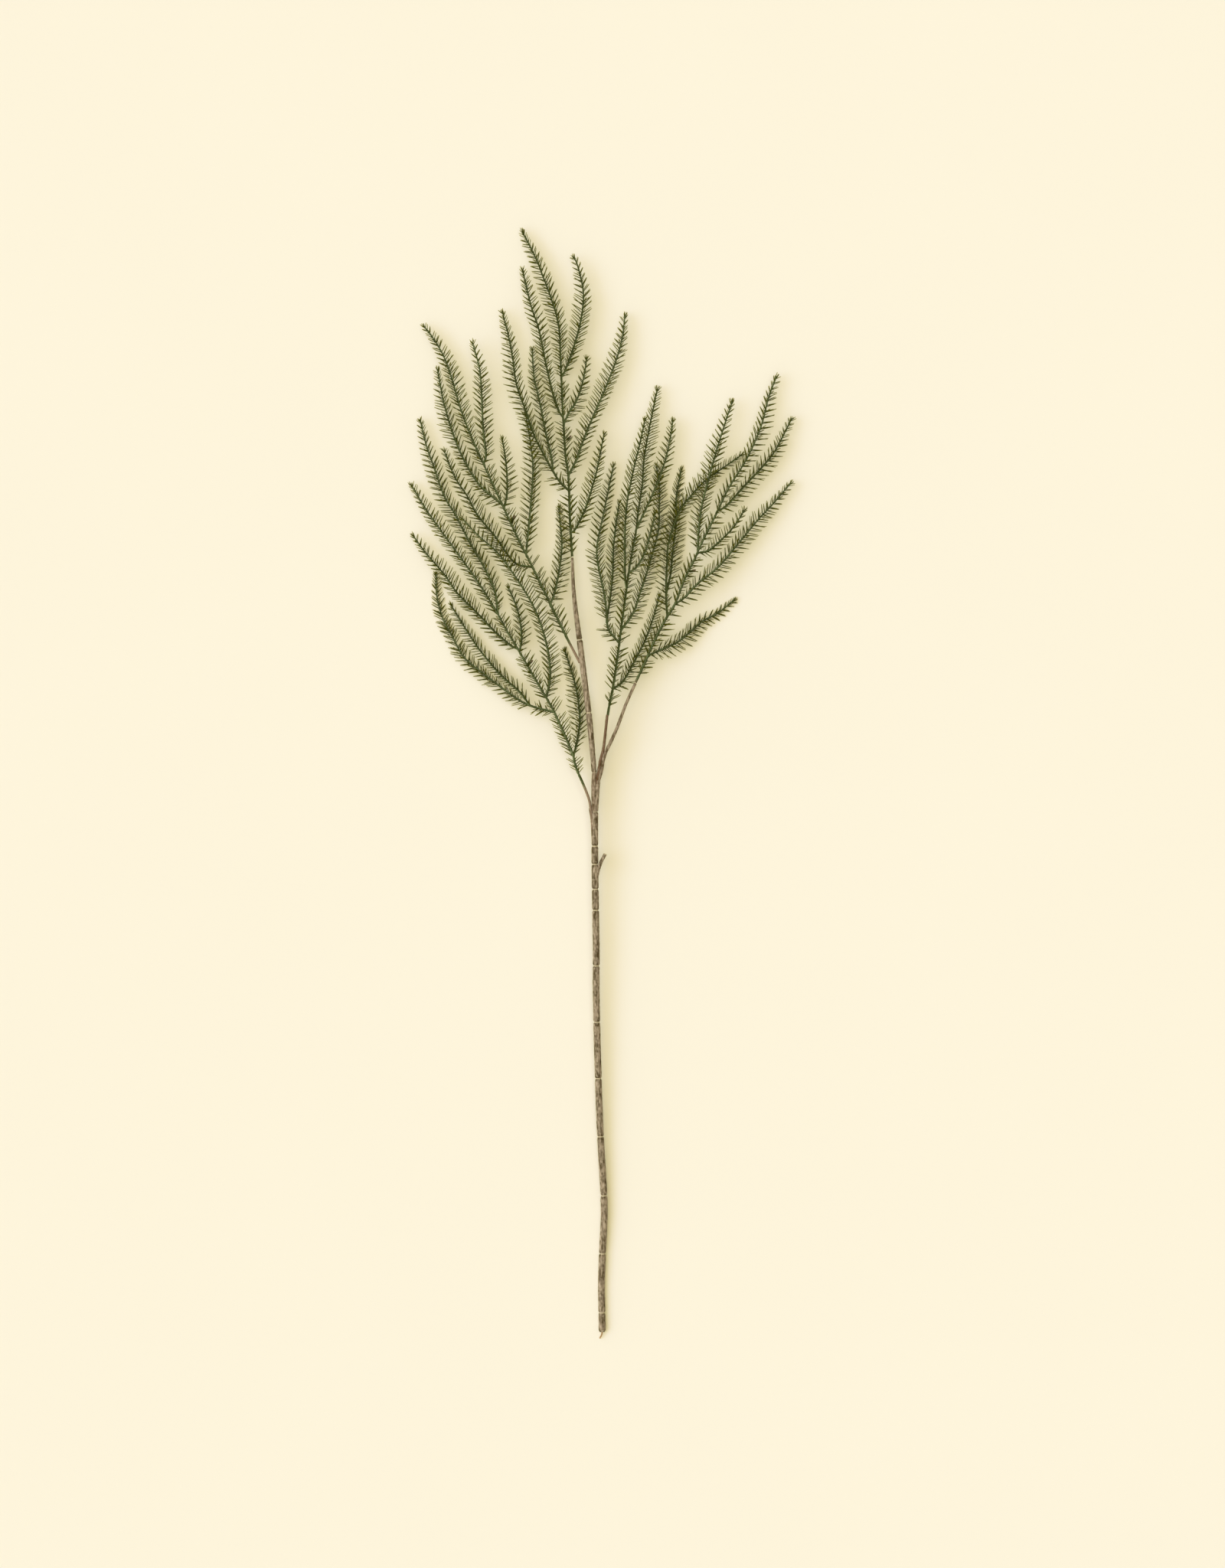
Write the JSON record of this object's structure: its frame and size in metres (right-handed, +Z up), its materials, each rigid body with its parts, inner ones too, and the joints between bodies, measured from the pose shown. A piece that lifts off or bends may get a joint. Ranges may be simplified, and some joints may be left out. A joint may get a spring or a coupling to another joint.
{
  "type": "artificial norway spruce spray",
  "caption": "Artificial Norway spruce spray: a moulded bark stem on a wire that forks into flat, needled sprays. It lies flat, cut end included.",
  "frame": {"origin": "centre of the overall box, at the level of the surface the spray lies on", "axes": "+Y along the spray from the stem's cut end to the tips, +Z up from the surface, +X to the right as seen from above with the tips away from the viewer"},
  "size_m": [0.4036, 1.1632, 0.0313],
  "materials": {
    "needles": "moulded dark olive green, dusted grey-green along the cores",
    "bark": "moulded taupe bark with a pale dry-brushed wash",
    "stalk": "smooth red-brown moulding",
    "wire": "dull, lightly rusted"
  },
  "bodies": {
    "root": {"lower_left_spray_axis": "needles", "lower_left_spray_twig_1": "needles", "lower_left_spray_twig_2": "needles", "lower_left_spray_twig_3": "needles", "lower_left_spray_twig_4": "needles", "lower_left_spray_twig_5": "needles", "lower_left_spray_twig_6": "needles", "lower_left_spray_twig_7": "needles", "middle_spray_axis": "needles", "middle_spray_twig_1": "needles", "middle_spray_twig_2": "needles", "middle_spray_twig_3": "needles", "middle_spray_twig_4": "needles", "middle_spray_twig_5": "needles", "middle_spray_twig_6": "needles", "middle_spray_twig_7": "needles", "middle_stalk_sleeve": "stalk", "right_spray_axis": "needles", "right_spray_twig_1": "needles", "right_spray_twig_2": "needles", "right_spray_twig_3": "needles", "right_spray_twig_4": "needles", "right_spray_twig_5": "needles", "right_spray_twig_6": "needles", "right_spray_twig_7": "needles", "right_stalk_sleeve": "bark", "side_fork_sleeve": "bark", "stem_sleeve_01": "bark", "stem_sleeve_02": "bark", "stem_sleeve_03": "bark", "stem_sleeve_04": "bark", "stem_sleeve_05": "bark", "stem_sleeve_06": "bark", "stem_sleeve_07": "bark", "stem_sleeve_08": "bark", "stem_sleeve_09": "bark", "stem_sleeve_10": "bark", "stem_sleeve_11": "bark", "stem_sleeve_12": "bark", "stem_sleeve_13": "bark", "stem_sleeve_14": "bark", "stem_sleeve_15": "bark", "stem_sleeve_16": "bark", "stem_wire": "wire", "top_spray_axis": "needles", "top_spray_twig_1": "needles", "top_spray_twig_2": "needles", "top_spray_twig_3": "needles", "top_spray_twig_4": "needles", "top_spray_twig_5": "needles", "top_spray_twig_6": "needles", "top_spray_twig_7": "needles", "upper_left_spray_axis": "needles", "upper_left_spray_twig_1": "needles", "upper_left_spray_twig_2": "needles", "upper_left_spray_twig_3": "needles", "upper_left_spray_twig_4": "needles", "upper_left_spray_twig_5": "needles", "upper_left_spray_twig_6": "needles"}
  },
  "joints": []
}
